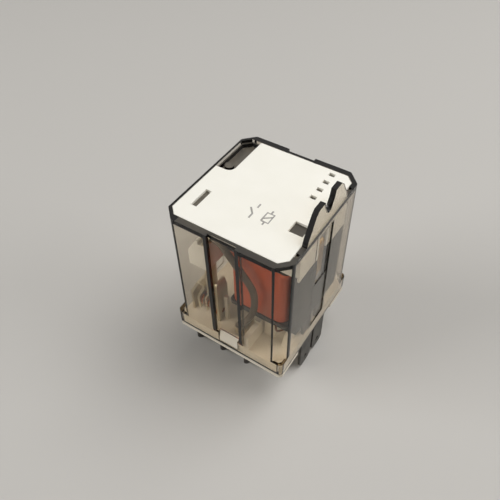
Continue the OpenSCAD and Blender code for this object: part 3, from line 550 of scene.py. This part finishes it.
def add_marks():
    """Circuit symbols printed on the plate: a make contact, and a coil's box and stroke."""
    strokes = [[(1.1, -8.9), (1.1, -7.2), (-0.4, -5.5)], [(1.1, -4.9), (1.1, -3.4)],
               [(4.1, -8.1), (6.1, -8.1), (6.1, -5), (4.1, -5), (4.1, -8.1)],
               [(4.1, -7.3), (6.1, -5.8)], [(5.1, -9.2), (5.1, -8.1)], [(5.1, -5), (5.1, -3.9)]]
    routes = [[millimetres(x, y, 0) for x, y in stroke] for stroke in strokes]
    mesh = wires(routes, 0.24)
    flattened = (1, 1, 0.12)
    bmesh.ops.scale(mesh, vec=flattened, verts=mesh.verts)
    bmesh.ops.translate(mesh, vec=millimetres(0, 0, PLATE_TOP), verts=mesh.verts)
    place_piece("printed_marks", mesh, [INK], "top_plate", 60)


add_cover()
rounded("plate", "top_plate", WHITE, 0.1)
add_marks()
rounded("base_moulding", "base", CREAM, 0.12)


# ---------- magnet ----------

def add_tape_end():
    """The last turn of the tape, which covers one quarter of the coil, stands a little proud
    and is a little narrower."""
    low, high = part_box("coil_tape")
    middle = (low + high) / 2
    mesh = merged_copy("coil_tape")
    for place, away in (((6.5, 0, 0), (1, 0, 0)), ((0, 2.5, 0), (0, -1, 0))):
        whole = mesh.verts[:] + mesh.edges[:] + mesh.faces[:]
        ends = bmesh.ops.bisect_plane(mesh, geom=whole, dist=CUT_SNAP,
                                      plane_co=millimetres(*place), plane_no=away,
                                      clear_outer=True)["geom_cut"]
        open_edges = [part for part in ends if isinstance(part, bmesh.types.BMEdge)]
        bmesh.ops.holes_fill(mesh, edges=open_edges)
    bmesh.ops.translate(mesh, vec=-middle, verts=mesh.verts)
    bmesh.ops.scale(mesh, vec=(1.006, 1.004, 0.985), verts=mesh.verts)
    bmesh.ops.translate(mesh, vec=middle, verts=mesh.verts)
    place_piece("tape_end", mesh, [TAPE], "coil_tape")


def add_coil_former():
    """The former that the coil is wound on. The tape laps over the edge of its top flange."""
    flange_low, flange_high = 48.3, 50.2
    mesh = merged_copy("bobbin")
    round_edges(mesh, sharp_edges(mesh), 0.15)
    for face in mesh.faces:
        height = face.calc_center_median().z / MM
        if flange_low < height < flange_high and abs(face.normal.z) < 0.6:
            face.material_index = 1
    place_piece("coil_former", mesh, [NYLON, TAPE], "bobbin")


def add_hinge_leaf():
    """The return spring, which bends over the hinge from the yoke to the armature."""
    mesh = merged_copy("hinge_spring")
    round_edges(mesh, sharp_edges(mesh), 0.04)
    place_piece("hinge_leaf", mesh, [BRONZE], "hinge_spring",
                bend=[(16.5, 0, 46), (13, 0, 52)])


rounded("yoke_plate", "yoke", IRON, 0.2)
add_coil_former()
rounded("tape_wrap", "coil_tape", TAPE, 0.05)
add_tape_end()
add_hinge_leaf()
rounded("keeper", "armature", POLE, 0.15)
rounded("hinge_retainer", "armature_retainer", IVORY, 0.25, 3)
rounded("blade_carrier", "contact_carrier", IVORY, 0.25, 3)
for side in ("a", "b"):
    rounded("coil_blade_" + side, "coil_tab_" + side, SHADED_TIN, 0.06)
for side in ("front", "rear"):
    rounded("break_strap_" + side, "break_terminal_" + side, TINNED, 0.06)
    rounded("make_strap_" + side, "make_terminal_" + side, TINNED, 0.06)
    rounded("common_strap_" + side, "common_terminal_" + side, TINNED, 0.06)
    rounded("swing_blade_" + side, "moving_blade_" + side, TINNED, 0.04)

for letter, side in (("a", 1), ("b", -1)):
    # from the winding, under the former's flange, to the top of the coil's tab
    route = route_through([(11.3, -12.1, 26.9), (11.6, -11.9, 24.2), (12.3, -9.8, 22.6),
                           (13.8, -6.15, 21.8), (15.2, -4.35, 21.5)], 6)
    lead = wires([route], 0.3)
    bmesh.ops.scale(lead, vec=(1, side, 1), verts=lead.verts)
    bmesh.ops.recalc_face_normals(lead, faces=lead.faces)
    place_piece("winding_end_" + letter, lead, [WIRE], "coil_lead_" + letter, 60)

# these are hidden behind others, so they keep their CAD shape
for node, material in (("core", POLE), ("shading_ring", CONTACT), ("coil_winding", WIRE)):
    nodes[node].data.materials.clear()
    nodes[node].data.materials.append(material)


# ---------- contacts, rivets and braids ----------

SHANK = 0.89        # radius of a contact's shank, in its hole


def head(back, face, radius):
    """Half the outline of a contact head: its back, its round rim and its domed face."""
    way = 1 if face > back else -1
    return [(back, radius - 0.06), (back + 0.08 * way, radius), (face - 0.3 * way, radius),
            (face - 0.2 * way, radius - 0.1), (face - 0.1 * way, radius - 0.75),
            (face - 0.03 * way, radius - 1.4), (face, 0)]


def add_contact(name, node, way, sheet, back_head=0):
    """A contact riveted through a sheet of so many millimetres. Its silver face looks along
    way on X, and it may have a second head, so high, behind the sheet."""
    low, high = (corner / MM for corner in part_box(node))
    radius = (high.y - low.y) / 2
    length = high.x - low.x
    behind = Vector((low.x if way > 0 else high.x, (low.y + high.y) / 2, (low.z + high.z) / 2))
    tail = [(0, 0), (0, 0.8), (0.1, SHANK)]
    if back_head:
        tail = list(reversed(head(back_head, 0, radius))) + [(back_head, SHANK)]
    front = back_head + sheet
    profile = tail + [(front, SHANK)] + head(front + 0.01, length, radius)
    mesh = turned(profile, behind * MM, (way, 0, 0))
    silver_depth = 0.21
    for face in mesh.faces:
        reach = abs(face.calc_center_median().x / MM - behind.x)
        if reach > length - silver_depth or (back_head and reach < silver_depth):
            face.material_index = 1
    place_piece(name, mesh, [CONTACT, SILVER], node, 50)


def add_rivet(name, node, foot, axis, reach):
    """A round rivet with a shank of so many millimetres and a low domed head, upset over the
    leaf that it holds."""
    shank = [(0, 0), (0, 0.8), (0.1, 0.9), (reach, 0.9)]
    dome = [(0, 1.36), (0.08, 1.4), (0.2, 1.25), (0.3, 0.9), (0.34, 0.4), (0.35, 0)]
    profile = shank + [(reach + height, radius) for height, radius in dome]
    mesh = turned(profile, millimetres(*foot), axis)
    place_piece(name, mesh, [POLE], node, 50)


def strands(route, hand, count):
    """Routes of so many strands that wind round a route by one hand, 1 or -1, over and under
    those of the other."""
    pitch, middle, sway = 6.5 * MM, 0.81, 0.04
    ways = [[] for strand in range(count)]
    gone = 0.0
    for i, place in enumerate(route):
        along = (route[min(i + 1, len(route) - 1)] - route[max(i - 1, 0)]).normalized()
        out = along.cross(Vector((0, 1, 0))).normalized()
        aside = along.cross(out)
        gone += (place - route[max(i - 1, 0)]).length
        for strand, way in enumerate(ways):
            angle = math.tau * (hand * gone / pitch + strand / count)
            over = hand * math.cos(math.tau * gone / pitch * count)
            reach = (middle + sway * over) * MM
            way.append(place + (out * math.cos(angle) + aside * math.sin(angle)) * reach)
    return ways


def add_braid(name, node, side):
    """The braided lead between a blade's ferrule and the ferrule on its terminal."""
    route = route_through(
        [(-9.73, -12.2, 50.9), (-7.53, -12.2, 50.9), (-4.35, -13.4, 52), (-1.65, -14.2, 50.7),
         (1.15, -14.3, 47.5), (3.95, -14.3, 43.9), (5.95, -14.3, 40.3), (6.35, -14.3, 35.9),
         (5.85, -14.3, 31.7), (4.55, -14.3, 27.7), (2.75, -14.3, 24.5), (1.15, -14.1, 21.9),
         (1.15, -14.1, 19.5)], 16)
    mesh = wires([route], 0.74)
    weave = bpy.data.meshes.new("weave")
    woven = wires(strands(route, 1, 12) + strands(route, -1, 12), 0.13)
    woven.to_mesh(weave)
    woven.free()
    mesh.from_mesh(weave)
    bpy.data.meshes.remove(weave)
    bmesh.ops.scale(mesh, vec=(1, side, 1), verts=mesh.verts)
    bmesh.ops.recalc_face_normals(mesh, faces=mesh.faces)
    place_piece(name, mesh, [BRAID], node, 70,
                [(5.9, -14.3 * side, 32), (-6.5, -12.6 * side, 51.5)])


for side in ("front", "rear"):
    add_contact("break_rivet_" + side, "break_contact_" + side, 1, 0.8)
    add_contact("make_rivet_" + side, "make_contact_" + side, -1, 0.8)
    add_contact("swing_rivet_" + side, "moving_contact_" + side, 1, 0.5, 0.75)
    add_braid("woven_lead_" + side, "braid_" + side, 1 if side == "front" else -1)
open_angle = math.radians(3.4)      # how far the armature is tilted with the coil off
add_rivet("spring_foot_rivet", "yoke_rivet", (14.7, 0, 39.1), (1, 0, 0), 1.66)
add_rivet("spring_end_rivet", "armature_rivet", (10.815, 0, 50.308),
          (math.sin(open_angle), 0, math.cos(open_angle)), 2.45)


# ---------- floor and light ----------

def add_floor():
    """A plain pale floor, a hair under the ends of the tabs."""
    mesh = bmesh.new()
    bmesh.ops.create_grid(mesh, x_segments=1, y_segments=1, size=3)
    bmesh.ops.translate(mesh, vec=millimetres(0, 0, -0.05), verts=mesh.verts)
    data = bpy.data.meshes.new("floor")
    mesh.to_mesh(data)
    mesh.free()
    floor = bpy.data.objects.new("floor", data)
    bpy.context.scene.collection.objects.link(floor)
    material, tree = new_material("pale_floor")
    shader = add(tree, "ShaderNodeBsdfPrincipled",
                 {"Base Color": linear("#C4C1BC"), "Roughness": 0.75,
                  "Specular IOR Level": 0.2})
    finish_material(tree, shader.outputs["BSDF"])
    data.materials.append(material)


def add_world():
    """Pale surroundings for what the eye sees straight on, mirrored or through the cover, and
    a dimmer sky that lights the part."""
    world = bpy.data.worlds.new("studio")
    world.use_nodes = True
    bpy.context.scene.world = world
    tree = world.node_tree
    tree.nodes.clear()
    path = add(tree, "ShaderNodeLightPath")
    seen = add(tree, "ShaderNodeMath", {"operation": "MAXIMUM"})
    tree.links.new(path.outputs["Is Camera Ray"], seen.inputs[0])
    tree.links.new(path.outputs["Is Glossy Ray"], seen.inputs[1])
    through = add(tree, "ShaderNodeMath", {"operation": "MAXIMUM"})
    tree.links.new(seen.outputs["Value"], through.inputs[0])
    tree.links.new(path.outputs["Is Transmission Ray"], through.inputs[1])
    strength = add(tree, "ShaderNodeMapRange", {"To Min": 0.15, "To Max": 0.75},
                   {"Value": through.outputs["Value"]})
    sky = add(tree, "ShaderNodeBackground", {"Color": linear("#F4F3F0")},
              {"Strength": strength.outputs["Result"]})
    add(tree, "ShaderNodeOutputWorld", None, {"Surface": sky.outputs["Background"]})


def add_lamp(name, place, size, watts):
    """A square softbox, its size in millimetres, turned to the middle of the part."""
    data = bpy.data.lights.new(name, "AREA")
    data.shape = "SQUARE"
    data.size = size * MM
    data.energy = watts
    lamp = bpy.data.objects.new(name, data)
    aim = millimetres(0, 0, 30) - place
    turn = aim.to_track_quat("-Z", "Y").to_matrix().to_4x4()
    lamp.matrix_world = Matrix.Translation(place) @ turn
    lamp.visible_camera = False
    bpy.context.scene.collection.objects.link(lamp)


add_floor()
add_world()
add_lamp("top_softbox", millimetres(240, 270, 840), 600, 5.1)
add_lamp("front_softbox", millimetres(-750, -630, 540), 600, 6.2)
add_lamp("side_softbox", millimetres(870, 330, 570), 480, 2.4)

bpy.context.scene.view_settings.view_transform = "Standard"
